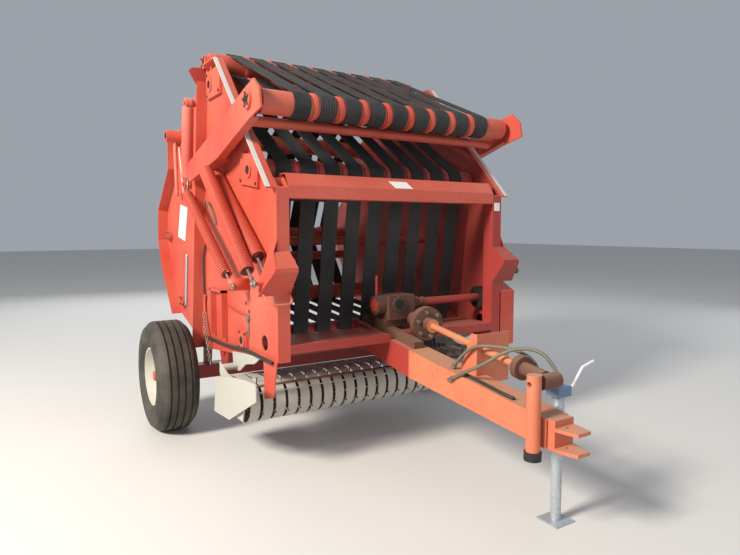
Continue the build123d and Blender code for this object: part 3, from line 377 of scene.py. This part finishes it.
for sign, side in SIDES:
    eye = Vector((sign * CYLINDER_EYE.x, CYLINDER_EYE.y, CYLINDER_EYE.z))
    paint_where("cylinder_rod_" + side, RED, lambda p, eye=eye: (p - eye).length < CYLINDER_EYE_R)
    paint_where("rim_" + side, RED, on_hub_cap)
    # The inner faces of the side walls take the darker red as painted shade
    paint_where("side_wall_" + side, SHADED_RED, lambda p: abs(p.x) < WALL_IN_X)
paint_where("jack_tube", BLUE, lambda p: p.z > JACK_CAP_Z)
paint_where("cross_shaft", DARK, lambda p: p.x > CROSS_RING_X)
paint_where("driveline", RUSTY, lambda p: not YOKE_BACK_Y < p.y + SHIFT_Y < CLUTCH_FRONT_Y)
paint_where("tongue", RUSTY, on_tongue_bar)
paint_where("hanging_shaft", DARK, lambda p: p.z <= SHAFT_LOW_Z)

# Small pieces, with the steps round their circles and the sides of their sections
NUT_SIDES = 6
COIL_STEPS = 14
COIL_SIDES = 5
EYE_STEPS = 16
EYE_SIDES = 8


def add_mesh(name, verts, faces, mat, body, smooth=False):
    mesh = bpy.data.meshes.new(name)
    mesh.from_pydata([tuple(v) for v in verts], [], faces)
    mesh.update()
    obj = bpy.data.objects.new(name, mesh)
    bpy.context.scene.collection.objects.link(obj)
    obj.data.materials.append(mat)
    if smooth:
        for p in mesh.polygons:
            p.use_smooth = True
    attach(obj, body)
    return obj


def joined(name, parts, mat, body, smooth=False):
    """One object from many small meshes."""
    verts, faces = [], []
    for part_verts, part_faces in parts:
        base = len(verts)
        verts += part_verts
        faces += [tuple(base + n for n in face) for face in part_faces]
    return add_mesh(name, verts, faces, mat, body, smooth)


def ring_points(centre, axis, radius, count):
    """Points of a circle about an axis."""
    side = axis.orthogonal().normalized()
    other = axis.cross(side).normalized()
    turn = 2 * math.pi / count
    return [centre + (side * math.cos(turn * n) + other * math.sin(turn * n)) * radius for n in range(count)]


def rod(start, end, radius, count=12):
    axis = (end - start).normalized()
    verts = ring_points(start, axis, radius, count) + ring_points(end, axis, radius, count)
    faces = [(n, (n + 1) % count, count + (n + 1) % count, count + n) for n in range(count)]
    faces += [tuple(range(count))[::-1], tuple(range(count, 2 * count))]
    return verts, faces


def nut(place, axis, radius=BOLT_R, height=BOLT_H):
    return rod(place, place + axis * height, radius, NUT_SIDES)


def nut_ring(centre, axis, ring, count, radius=BOLT_R, height=BOLT_H):
    """Nuts on a circle about an axis."""
    return [nut(place, axis, radius, height) for place in ring_points(centre, axis, ring, count)]


def prism(points, offset):
    """A flat outline given a thickness by an offset."""
    count = len(points)
    verts = list(points) + [p + offset for p in points]
    faces = [(n, (n + 1) % count, count + (n + 1) % count, count + n) for n in range(count)]
    return verts, faces + [tuple(range(count))[::-1], tuple(range(count, 2 * count))]


def box(low, high):
    plan = ((low.x, low.y), (high.x, low.y), (high.x, high.y), (low.x, high.y))
    return prism([Vector((x, y, low.z)) for x, y in plan], Vector((0, 0, high.z - low.z)))


def swept(points, radius, count=10):
    """A round bar along a list of points, whose section is carried along without a twist."""
    rings = []
    side = (points[1] - points[0]).orthogonal().normalized()
    turns = [2 * math.pi * k / count for k in range(count)]
    for n, point in enumerate(points):
        ahead = points[min(n + 1, len(points) - 1)] - points[max(n - 1, 0)]
        axis = ahead.normalized()
        side = (side - axis * side.dot(axis)).normalized()
        other = axis.cross(side)
        rings.append([point + (side * math.cos(a) + other * math.sin(a)) * radius for a in turns])
    verts = [v for ring in rings for v in ring]
    faces = []
    for n in range(len(points) - 1):
        for k in range(count):
            a, b = n * count + k, n * count + (k + 1) % count
            faces.append((a, b, b + count, a + count))
    last = (len(points) - 1) * count
    faces += [tuple(range(count))[::-1], tuple(range(last, last + count))]
    return verts, faces


def rounded(points, steps=8):
    """A smooth line through all the points."""
    line = []
    for n in range(len(points) - 1):
        a = points[max(n - 1, 0)]
        b, c = points[n], points[n + 1]
        d = points[min(n + 2, len(points) - 1)]
        for k in range(steps):
            t = k / steps
            square = (2 * a - 5 * b + 4 * c - d) * t**2
            cube = (3 * b - a - 3 * c + d) * t**3
            line.append(0.5 * (2 * b + (c - a) * t + square + cube))
    return line + [points[-1]]


def wire_eye(centre, axis, radius, wire):
    """A closed eye of wire about an axis."""
    points = ring_points(centre, axis, radius, EYE_STEPS)
    return swept(points + [points[0]], wire, EYE_SIDES)


def coil(start, end, radius, wire, pitch):
    """A helix of wire from one end to the other."""
    run = end - start
    axis = run.normalized()
    side = axis.orthogonal().normalized()
    other = axis.cross(side)
    points = []
    for n in range(int(run.length / pitch * COIL_STEPS) + 1):
        a = 2 * math.pi * n / COIL_STEPS
        out = side * math.cos(a) + other * math.sin(a)
        points.append(start + axis * (pitch * n / COIL_STEPS) + out * (radius - wire))
    return swept(points, wire, COIL_SIDES)


# Springs: x, then y and z of the top, foot, hook on the arm and end of the rod, then radius, wire and pitch
HOOK_PIN = (-0.014, 1.144)
SPRINGS = [
    (0.884, (0.853, 1.787), (0.151, 1.276), (0.893, 1.817), HOOK_PIN, 0.0455, 0.0052, 0.0120),
    (0.977, (0.764, 1.805), (0.077, 1.207), (0.796, 1.834), HOOK_PIN, 0.0455, 0.0052, 0.0120),
    (0.949, (1.285, 1.680), (0.487, 1.158), (1.264, 1.780), (0.391, 1.095), 0.036, 0.0066, 0.0200),
]
# Plug in a spring's top, and the dark core behind its wire, in wires below the coil's surface
PLUG = 0.025
CORE_DEPTH = 1.6
# Rod with its eye of wire, and the nut before the eye
SPRING_ROD_R = 0.008
EYE_R = 0.017
EYE_WIRE = 0.0064
ROD_NUT_R = 0.014
ROD_NUT_H = 0.012
ROD_NUT_BACK = 0.035
# Outer end of the pin that holds the feet of the spring pair: from x to x, and radius
PIN_X = (0.957, 0.996)
HOOK_PIN_R = 0.010
# Bracket that the single spring's rod ends at: y and z of two corners, and reach from the wall
SPRING_BRACKET = ((0.4005, 1.070), (0.4145, 1.142))
BRACKET_REACH = 0.136
for sign, side in SIDES:
    coils, rods, cores = [], [], []
    for x, top, foot, hook, rod_end, radius, wire, pitch in SPRINGS:
        a, b = at(sign * x, *top), at(sign * x, *foot)
        end = at(sign * x, *rod_end)
        run = (b - a).normalized()
        back = (a - end).normalized()
        coils.append(coil(a, b, radius, wire, pitch))
        coils.append(rod(a, a + run * PLUG, radius - wire))
        cores.append(rod(a + run * PLUG, b - run * wire, radius - CORE_DEPTH * wire))
        rods.append(rod(a + run * PLUG, end, SPRING_ROD_R))
        rods.append(rod(a, at(sign * x, *hook), SPRING_ROD_R))
        rods.append(wire_eye(end, ACROSS, EYE_R, EYE_WIRE))
        rods.append(nut(end + back * ROD_NUT_BACK, back, ROD_NUT_R, ROD_NUT_H))
    pin_in, pin_out = at(sign * PIN_X[0], *HOOK_PIN), at(sign * PIN_X[1], *HOOK_PIN)
    rods.append(rod(pin_in, pin_out, HOOK_PIN_R, count=16))
    (y0, z0), (y1, z1) = SPRING_BRACKET
    x0, x1 = sorted((sign * WALL_X, sign * (WALL_X + BRACKET_REACH)))
    coils.append(box(at(x0, y0, z0), at(x1, y1, z1)))
    piece = joined("springs_dressed_" + side, coils, SPRING, "frame", True)
    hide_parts("springs_" + side)
    joined("spring_rods_" + side, rods, STEEL, "frame", True)
    joined("spring_shade_" + side, cores, SHADE, "frame", True)

# Free hoses: node, its fittings, length, and the corners of its route in millimetres
HOSE_R = 0.009
HOSES = [
    ("hose_1", "hose_end_1", 0.6261,
     [(-45, -560, 700), (-34, -645, 815), (15, -800, 838), (62, -925, 828), (100, -1010, 780),
      (100, -1036, 690)]),
    ("hose_2", "hose_end_2", 0.7064,
     [(-96, -600, 640), (-96, -690, 690), (-60, -800, 750), (0, -900, 835), (45, -1020, 862),
      (70, -1120, 820), (75, -1165, 735)]),
]
for node, fitting, length, route in HOSES:
    points = [at(*(c / 1000 for c in corner)) for corner in route]
    curve = bpy.data.curves.new(node + "_line", "CURVE")
    curve.dimensions = "3D"
    curve.bevel_depth = HOSE_R
    curve.bevel_resolution = 3
    curve.resolution_u = 16
    spline = curve.splines.new("NURBS")
    spline.points.add(len(points) - 1)
    for knot, point in zip(spline.points, points):
        knot.co = (*point, 1)
    spline.order_u = 3
    spline.use_endpoint_u = True
    hose = bpy.data.objects.new(node + "_dressed", curve)
    bpy.context.scene.collection.objects.link(hose)
    curve.materials.append(HOSE)
    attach(hose, "frame")
    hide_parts(node)

# Blank plates: name, body, thickness, whether the left side has one too, and the outline
PLATES = [
    ("tail_plate", "tailgate", (-0.003, 0, 0), True,
     [(-0.836, 1.885, 1.629), (-0.836, 1.691, 1.599), (-0.836, 1.779, 1.337), (-0.836, 1.979, 1.371)]),
    ("post_plate", "frame", (0, -0.003, 0), False,
     [(0.772, 0, 1.612), (0.818, 0, 1.612), (0.818, 0, 1.557), (0.772, 0, 1.557)]),
    ("beam_plate", "frame", (0, -0.0024, 0.0018), False,
     [(-0.079, 0.034, 1.7226), (0.05, 0.034, 1.7226), (0.083, 0.004, 1.6806), (-0.043, 0.004, 1.6806)]),
]
for name, body, thick, twin, outline in PLATES:
    for sign, side in SIDES if twin else SIDES[:1]:
        points = [at(-sign * x, y, z) for x, y, z in outline]
        offset = Vector((-sign * thick[0], thick[1], thick[2]))
        add_mesh(name + "_" + side, *prism(points, offset), WHITE, body)

# Dark ends of the axles: body, x, y, z, radius
AXLE_ENDS = [
    ("frame", 0.863, 1.030, 2.400, 0.026),
    ("frame", 0.863, 0.350, 1.780, 0.026),
    ("frame", 0.863, 0.500, 0.750, 0.024),
    ("frame", 0.968, 0.090, 2.125, 0.026),
    ("frame", 0.875, 1.100, 2.560, 0.020),
    ("tailgate", 0.950, 1.850, 2.160, 0.026),
]
END_T = 0.002
# Long boss of the tailgate's top roller: x, x, y, z, radius
LONG_BOSS = (0.864, 0.950, 1.850, 2.160, 0.046)
# Bolts on the bearing plates: x of the face, y, z, front and rear reach, half height, lean in degrees
BEARINGS = [
    (0.855, 1.030, 2.400, -0.180, 0.056, 0.070, 0.0),
    (0.855, 0.350, 1.780, -0.118, 0.118, 0.070, 8.0),
    (0.855, 0.500, 0.750, -0.045, 0.045, 0.045, 0.0),
]
# Bolts round a boss: body, x of its face, y, z, radius of their circle, how many
BOSSES = [
    ("frame", 0.9645, 0.090, 2.125, 0.036, 5),
    ("tailgate", 0.865, 1.830, 0.860, 0.036, 4),
    ("tailgate", 0.865, 2.200, 1.380, 0.036, 4),
    ("frame", 0.875, 1.100, 2.560, 0.034, 4),
]
BOSS_BOLT_R = 0.008
for sign, side in SIDES:
    out = ACROSS * sign
    ends = {"frame": [], "tailgate": []}
    for body, x, y, z, radius in AXLE_ENDS:
        place = at(sign * x, y, z)
        ends[body].append(rod(place - out * END_T, place + out * END_T, radius, count=20))
    for body, parts in ends.items():
        joined("axle_ends_" + body + "_" + side, parts, DARK, body)
    x0, x1, y, z, radius = LONG_BOSS
    boss = rod(at(sign * x0, y, z), at(sign * x1, y, z), radius, count=28)
    add_mesh("tail_boss_" + side, *boss, RED, "tailgate")
    heads = {"frame": [], "tailgate": []}
    for x, y, z, front, rear, half_z, lean in BEARINGS:
        c, s = math.cos(math.radians(lean)), math.sin(math.radians(lean))
        for dy, dz in ((front, -half_z), (front, half_z), (rear, -half_z), (rear, half_z)):
            place = at(sign * x, y + dy * c - dz * s, z + dy * s + dz * c)
            heads["frame"].append(nut(place, out))
    for body, x, y, z, ring, count in BOSSES:
        heads[body] += nut_ring(at(sign * x, y, z), out, ring, count, BOSS_BOLT_R)
    for body, parts in heads.items():
        joined("bolts_" + body + "_" + side, parts, RUSTY, body)

# Pale strip on the edge of the slanted flange: y and z of its ends, thickness, from x to x
SLANT = ((0.004, 1.660), (0.830, 2.526))
EDGE_T = 0.003
EDGE_X = (0.868, 0.896)
# Flared ear of the rear flange: x, y, z of its corners, and thickness
EAR = [(0.912, 1.146, 2.415), (0.965, 1.140, 2.500), (0.940, 1.138, 2.523)]
EAR += [(0.843, 1.138, 2.531), (0.843, 1.150, 2.380)]
EAR_T = 0.006
for sign, side in SIDES:
    (y0, z0), (y1, z1) = SLANT
    face = [at(sign * EDGE_X[0], y0, z0), at(sign * EDGE_X[1], y0, z0)]
    face += [at(sign * EDGE_X[1], y1, z1), at(sign * EDGE_X[0], y1, z1)]
    add_mesh("bare_edge_" + side, *prism(face, Vector((0, -EDGE_T, EDGE_T))), PALE_EDGE, "frame")
    ear = [at(sign * x, y, z) for x, y, z in EAR]
    # The ear takes the darker red as painted shade
    add_mesh("flange_ear_" + side, *prism(ear, Vector((0, -EAR_T, 0))), SHADED_RED, "frame")

# Round bars, pipes and hoses that are clipped on: name, body, material, radius, points
BARS = [
    ("drain_tube", "frame", BLACK, 0.011,
     [(-0.855, 1.249, 0.660), (-0.855, 0.786, 0.670), (-0.862, 0.451, 0.700), (-0.862, 0.137, 0.698),
      (-0.850, 0.050, 0.690)]),
    ("wall_hose", "frame", BLACK, 0.008,
     [(-0.848, 1.179, 1.359), (-0.850, 1.264, 1.236), (-0.850, 1.270, 1.013), (-0.846, 1.262, 0.900)]),
    ("pale_hose", "frame", HOSE, 0.007,
     [(-0.848, 1.215, 1.590), (-0.862, 1.150, 1.629), (-0.862, 1.043, 1.571), (-0.848, 0.986, 1.465)]),
    ("nose_loop", "frame", ORANGE, 0.006,
     [(-0.925, -0.008, 1.090), (-0.905, -0.060, 1.040), (-0.819, -0.075, 1.030), (-0.777, -0.060, 1.040),
      (-0.768, -0.010, 1.078)]),
    # The wall rod takes the darker red as painted shade
    ("wall_rod", "frame", SHADED_RED, 0.005,
     [(-0.842, 0.815, 0.935), (-0.848, 0.640, 0.920), (-0.842, 0.454, 0.908)]),
    ("lift_link", "frame", RED, 0.010,
     [(-0.850, 1.250, 0.960), (-0.850, 1.265, 0.900), (-0.850, 1.262, 0.835)]),
    ("tongue_hose", "frame", BLACK, 0.009,
     [(-0.060, -0.640, 0.674), (-0.062, -0.800, 0.653), (-0.066, -0.930, 0.636), (-0.060, -1.010, 0.625)]),
    ("latch_rod", "tailgate", ZINC, 0.010,
     [(-0.925, 1.420, 1.250), (-0.925, 1.455, 1.020), (-0.925, 1.480, 0.860)]),
    ("stay_front", "tailgate", BARREL, 0.014,
     [(-0.880, 1.720, 2.060), (-0.880, 1.668, 1.868), (-0.880, 1.628, 1.700)]),
    ("stay_rear", "tailgate", BARREL, 0.014,
     [(-0.880, 1.850, 2.130), (-0.880, 1.836, 1.881), (-0.880, 1.822, 1.693)]),
    ("gearbox_pin", "frame", RED, 0.008,
     [(-0.060, 0.200, 0.960), (-0.060, 0.200, 1.137)]),
]
for name, body, mat, radius, points in BARS:
    line = rounded([at(*p) for p in points])
    add_mesh(name, *swept(line, radius), mat, body, True)

# Loop bracket on the right wall: a flat bar bent along y and z, from x to x, with half its thickness
LOOP = [(1.060, 0.720), (1.060, 1.020), (0.830, 1.020), (0.830, 0.720)]
LOOP_X = (-0.875, -0.836)
LOOP_HALF_Y = 0.010
LOOP_HALF_Z = 0.008
parts = []
for (y0, z0), (y1, z1) in zip(LOOP, LOOP[1:]):
    low = at(LOOP_X[0], min(y0, y1) - LOOP_HALF_Y, min(z0, z1) - LOOP_HALF_Z)
    high = at(LOOP_X[1], max(y0, y1) + LOOP_HALF_Y, max(z0, z1) + LOOP_HALF_Z)
    parts.append(box(low, high))
joined("loop_bracket", parts, RED, "frame")

# Latch on the right wall: a flat bar with a round knob
LATCH_BAR = (at(-0.842, 0.424, 0.775), at(-0.836, 0.444, 0.900))
LATCH_KNOB = (at(-0.836, 0.434, 0.893), at(-0.848, 0.434, 0.893))
LATCH_KNOB_R = 0.022
joined("wall_latch", [box(*LATCH_BAR), rod(*LATCH_KNOB, LATCH_KNOB_R)], STEEL, "frame")

# Small holes in the right wall, as dark discs of painted shade: y, z, radius
HOLES = [(0.836, 2.153, 0.010), (0.781, 2.152, 0.010), (0.476, 0.981, 0.012), (0.426, 0.935, 0.012)]
HOLE_T = 0.0015
parts = [rod(at(-WALL_X, y, z), at(-WALL_X - HOLE_T, y, z), radius) for y, z, radius in HOLES]
joined("wall_holes", parts, DARK, "frame")

# Lift chain from the right wall down towards the pickup: its ends, and a link's length, half width and wire
CHAIN_TOP = at(-0.862, 1.262, 0.835)
CHAIN_END = at(-0.880, 1.060, 0.470)
LINK = 0.030
LINK_HALF_W = 0.008
LINK_R = 0.0045
LINK_STEPS = 12
LINK_SIDES = 6
LINK_PITCH = LINK - 2 * LINK_R


def chain_link(middle, run, across):
    """An oval link of wire, with its length along the chain."""
    reach = run * (LINK / 2 - LINK_R)
    wide = across * LINK_HALF_W
    turns = [2 * math.pi * k / LINK_STEPS for k in range(LINK_STEPS + 1)]
    return swept([middle + reach * math.cos(a) + wide * math.sin(a) for a in turns], LINK_R, LINK_SIDES)


chain = CHAIN_END - CHAIN_TOP
run = chain.normalized()
parts = []
for n in range(int(chain.length / LINK_PITCH)):
    across = ACROSS if n % 2 else run.cross(ACROSS)
    parts.append(chain_link(CHAIN_TOP + run * (n + 0.5) * LINK_PITCH, run, across.normalized()))
joined("lift_chain", parts, STEEL, "frame", True)

# Bolts in the face of the drive shaft's clutch, which is counted from the shaft's rear end
SHAFT_REAR = at(0.160, 0.0272, 0.852)
SHAFT_FRONT = at(-0.010, -1.155, 0.748)
CLUTCH_FACE = 0.1102
CLUTCH_BOLTS = 6
CLUTCH_RING_R = 0.078
CLUTCH_NUT_R = 0.012
CLUTCH_NUT_H = 0.014
run = (SHAFT_FRONT - SHAFT_REAR).normalized()
face = SHAFT_REAR + run * CLUTCH_FACE
parts = nut_ring(face, run, CLUTCH_RING_R, CLUTCH_BOLTS, CLUTCH_NUT_R, CLUTCH_NUT_H)
joined("clutch_bolts", parts, STEEL, "frame")

# Side cover of the gearbox about the cross shaft's axis, which is given by its y and z
GEAR_AXIS = (0.175, 0.950)
COVER_X = -0.0905
COVER_SUNK = 0.0005
COVER_T = 0.004
COVER_R = 0.040
COVER_BOLTS = 6
COVER_RING_R = 0.050
COVER_NUT_R = 0.008
COVER_NUT_H = 0.006
face = at(COVER_X, *GEAR_AXIS)
parts = nut_ring(face, -ACROSS, COVER_RING_R, COVER_BOLTS, COVER_NUT_R, COVER_NUT_H)
joined("gearbox_bolts", parts, STEEL, "frame")
disc = rod(face + ACROSS * COVER_SUNK, face - ACROSS * COVER_T, COVER_R, count=24)
add_mesh("gearbox_cover", *disc, RED, "frame")

# Nose of the gearbox and collars of the cross shaft: start, end, radius
NOSE_END = at(0.045, 0.088, 0.955)
COLLARS = [
    (at(0.045, 0.101, 0.955), NOSE_END, 0.050),
    (at(0.212, *GEAR_AXIS), at(0.245, *GEAR_AXIS), 0.038),
    (at(0.275, *GEAR_AXIS), at(0.300, *GEAR_AXIS), 0.034),
]
HOLLOW_R = 0.034
HOLLOW_T = 0.002
parts = [rod(start, end, radius, count=8) for start, end, radius in COLLARS]
joined("gearbox_collars", parts, RUSTY, "frame")
# A dark disc in the nose's hollow: painted shade
dark = rod(NOSE_END, NOSE_END - Vector((0, HOLLOW_T, 0)), HOLLOW_R, count=16)
add_mesh("gearbox_hollow", *dark, DARK, "frame")

# Wheel nuts
HUB_OUT = 0.040
WHEEL_NUTS = 6
WHEEL_RING_R = 0.082
WHEEL_NUT_R = 0.011
WHEEL_NUT_H = 0.014
for sign, side in SIDES:
    hub = at(sign * (RIM_FACE_X + HUB_OUT), HUB_Y, HUB_Z)
    parts = nut_ring(hub, ACROSS * sign, WHEEL_RING_R, WHEEL_NUTS, WHEEL_NUT_R, WHEEL_NUT_H)
    joined("wheel_nuts_" + side, parts, RUSTY, "wheel_" + side)

scene = bpy.context.scene


def aim(obj, direction):
    """Turn a camera or a lamp so that it looks in a direction."""
    obj.rotation_mode = "QUATERNION"
    obj.rotation_quaternion = direction.to_track_quat("-Z", "Y")


# Camera
camera = bpy.data.cameras.new("camera")
camera.sensor_width = SENSOR
camera.lens = FOCAL_PX / PHOTO_W * SENSOR
camera.clip_start = CAMERA_NEAR
camera.clip_end = CAMERA_FAR
eye = bpy.data.objects.new("camera", camera)
scene.collection.objects.link(eye)
eye.location = CAMERA_PLACE
turn = math.radians(CAMERA_TURN)
dip = math.radians(CAMERA_DIP)
aim(eye, Vector((math.sin(turn) * math.cos(dip), math.cos(turn) * math.cos(dip), -math.sin(dip))))
scene.camera = eye
scene.render.resolution_x = PHOTO_W
scene.render.resolution_y = PHOTO_H
scene.render.resolution_percentage = 100

# Floor, just below the tyres
FLOOR_SIZE = 80
FLOOR_Z = -0.001
bpy.ops.mesh.primitive_plane_add(size=FLOOR_SIZE, location=(0, 0, FLOOR_Z))
floor = bpy.context.object
floor.name = "floor"
floor.data.materials.append(PALE)

# Sky
SKY_COLOUR = (0.80, 0.86, 0.95, 1)
SKY_STRENGTH = 0.42
world = bpy.data.worlds.new("sky")
scene.world = world
world.use_nodes = True
background = world.node_tree.nodes["Background"]
background.inputs["Color"].default_value = SKY_COLOUR
background.inputs["Strength"].default_value = SKY_STRENGTH

# Lamps: name, place, size, power, colour
LAMPS = [
    ("key", (-8.0, -2.0, 6.0), 2.0, 1450, (1.0, 0.94, 0.84)),
    ("front", (1.0, -9.0, 4.0), 6.0, 110, (0.95, 0.97, 1.0)),
    ("left", (8.0, -1.0, 4.0), 6.0, 110, (0.90, 0.95, 1.0)),
    ("behind", (1.0, 9.0, 5.0), 6.0, 260, (0.95, 0.97, 1.0)),
]
LIT_POINT = Vector((0, 0, 1.1))
for name, place, size, power, colour in LAMPS:
    lamp = bpy.data.lights.new(name, "AREA")
    lamp.size = size
    lamp.energy = power
    lamp.color = colour
    holder = bpy.data.objects.new(name, lamp)
    scene.collection.objects.link(holder)
    holder.location = place
    aim(holder, LIT_POINT - Vector(place))

# Render
SAMPLES = 64
scene.render.engine = "CYCLES"
scene.cycles.samples = SAMPLES
scene.cycles.use_denoising = True
scene.view_settings.view_transform = "Standard"
scene.view_settings.look = "None"
scene.view_settings.exposure = 0.0
